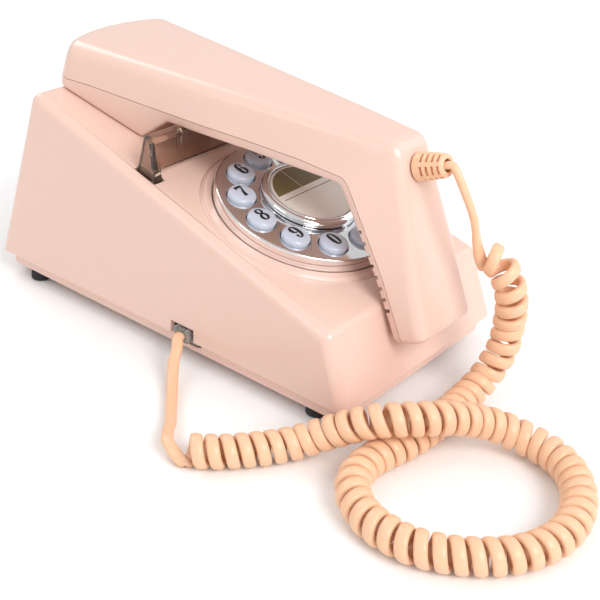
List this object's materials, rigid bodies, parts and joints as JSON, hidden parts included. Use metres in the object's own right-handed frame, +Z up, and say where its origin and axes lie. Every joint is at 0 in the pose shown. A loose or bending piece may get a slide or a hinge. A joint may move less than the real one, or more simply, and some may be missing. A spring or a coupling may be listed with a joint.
{
  "type": "desk telephone",
  "caption": "Wedge-shaped desk telephone with a bent lift-off handset on a smoked cradle, a round push-button dial with a chrome face, and a curly handset cord.",
  "frame": {"origin": "centre of the telephone's footprint on the surface it stands on, the free cord left out", "axes": "+Z up, -Y towards the front where the dial and mouthpiece are, +X to the user's right"},
  "size_m": [0.1585, 0.3027, 0.1126],
  "materials": {
    "pink_plastic": "glossy moulded plastic",
    "peach_vinyl": "satin flexible vinyl",
    "chrome": "mirror-polished",
    "label_silver": "satin silver with an olive panel",
    "key_plastic": "glossy with black digits",
    "smoked_acrylic": "transparent smoked",
    "black_rubber": "matte rubber",
    "dark_plastic": "moulded",
    "silicone": "soft silicone",
    "board": "printed circuit board",
    "steel": "zinc-plated",
    "clear_plastic": "clear moulded plug"
  },
  "bodies": {
    "base": {"upper_casing": "pink_plastic", "base_plate": "pink_plastic", "rubber_foot_1": "black_rubber", "rubber_foot_2": "black_rubber", "rubber_foot_3": "black_rubber", "rubber_foot_4": "black_rubber", "base_screw_1": "steel", "base_screw_2": "steel", "base_screw_3": "steel", "base_screw_4": "steel", "base_weight": "steel", "main_board": "board", "keypad_board": "board", "ringer": "dark_plastic", "line_jack": "dark_plastic", "handset_jack": "dark_plastic", "hook_switch": "dark_plastic", "cord_plug": "clear_plastic", "dial_faceplate": "chrome", "centre_ring": "chrome", "centre_label": "label_silver", "keypad_membrane": "silicone", "cord_lead_handset": "peach_vinyl", "curly_cord": "peach_vinyl", "cord_lead_base": "peach_vinyl"},
    "handset": {"handset_upper_shell": "pink_plastic", "handset_lower_shell": "pink_plastic", "receiver_capsule": "dark_plastic", "microphone_capsule": "dark_plastic", "handset_weight": "steel", "strain_relief": "peach_vinyl"},
    "cradle": {"hook_cradle": "smoked_acrylic"},
    "key_1": {"key_1": "key_plastic"},
    "key_2": {"key_2": "key_plastic"},
    "key_3": {"key_3": "key_plastic"},
    "key_4": {"key_4": "key_plastic"},
    "key_5": {"key_5": "key_plastic"},
    "key_6": {"key_6": "key_plastic"},
    "key_7": {"key_7": "key_plastic"},
    "key_8": {"key_8": "key_plastic"},
    "key_9": {"key_9": "key_plastic"},
    "key_star": {"key_star": "key_plastic"},
    "key_0": {"key_0": "key_plastic"},
    "key_hash": {"key_hash": "key_plastic"}
  },
  "joints": [
    {"name": "handset_lift", "type": "slide", "parent": "base", "child": "handset", "axis": [0, 0.3026, 0.9531], "range_m": [0, 0.07]},
    {"name": "cradle_rise", "type": "slide", "parent": "base", "child": "cradle", "axis": [0, -0.304, 0.9527], "range_m": [0, 0.004]},
    {"name": "key_1_press", "type": "slide", "parent": "base", "child": "key_1", "axis": [0, 0.304, -0.9527], "range_m": [0, 0.0015], "stiffness_N_per_m": 300},
    {"name": "key_2_press", "type": "slide", "parent": "base", "child": "key_2", "axis": [0, 0.304, -0.9527], "range_m": [0, 0.0015], "stiffness_N_per_m": 300},
    {"name": "key_3_press", "type": "slide", "parent": "base", "child": "key_3", "axis": [0, 0.304, -0.9527], "range_m": [0, 0.0015], "stiffness_N_per_m": 300},
    {"name": "key_4_press", "type": "slide", "parent": "base", "child": "key_4", "axis": [0, 0.304, -0.9527], "range_m": [0, 0.0015], "stiffness_N_per_m": 300},
    {"name": "key_5_press", "type": "slide", "parent": "base", "child": "key_5", "axis": [0, 0.304, -0.9527], "range_m": [0, 0.0015], "stiffness_N_per_m": 300},
    {"name": "key_6_press", "type": "slide", "parent": "base", "child": "key_6", "axis": [0, 0.304, -0.9527], "range_m": [0, 0.0015], "stiffness_N_per_m": 300},
    {"name": "key_7_press", "type": "slide", "parent": "base", "child": "key_7", "axis": [0, 0.304, -0.9527], "range_m": [0, 0.0015], "stiffness_N_per_m": 300},
    {"name": "key_8_press", "type": "slide", "parent": "base", "child": "key_8", "axis": [0, 0.304, -0.9527], "range_m": [0, 0.0015], "stiffness_N_per_m": 300},
    {"name": "key_9_press", "type": "slide", "parent": "base", "child": "key_9", "axis": [0, 0.304, -0.9527], "range_m": [0, 0.0015], "stiffness_N_per_m": 300},
    {"name": "key_star_press", "type": "slide", "parent": "base", "child": "key_star", "axis": [0, 0.304, -0.9527], "range_m": [0, 0.0015], "stiffness_N_per_m": 300},
    {"name": "key_0_press", "type": "slide", "parent": "base", "child": "key_0", "axis": [0, 0.304, -0.9527], "range_m": [0, 0.0015], "stiffness_N_per_m": 300},
    {"name": "key_hash_press", "type": "slide", "parent": "base", "child": "key_hash", "axis": [0, 0.304, -0.9527], "range_m": [0, 0.0015], "stiffness_N_per_m": 300}
  ],
  "couplings": [
    {"joint": "cradle_rise", "follows": "handset_lift", "ratio": 0.057}
  ]
}
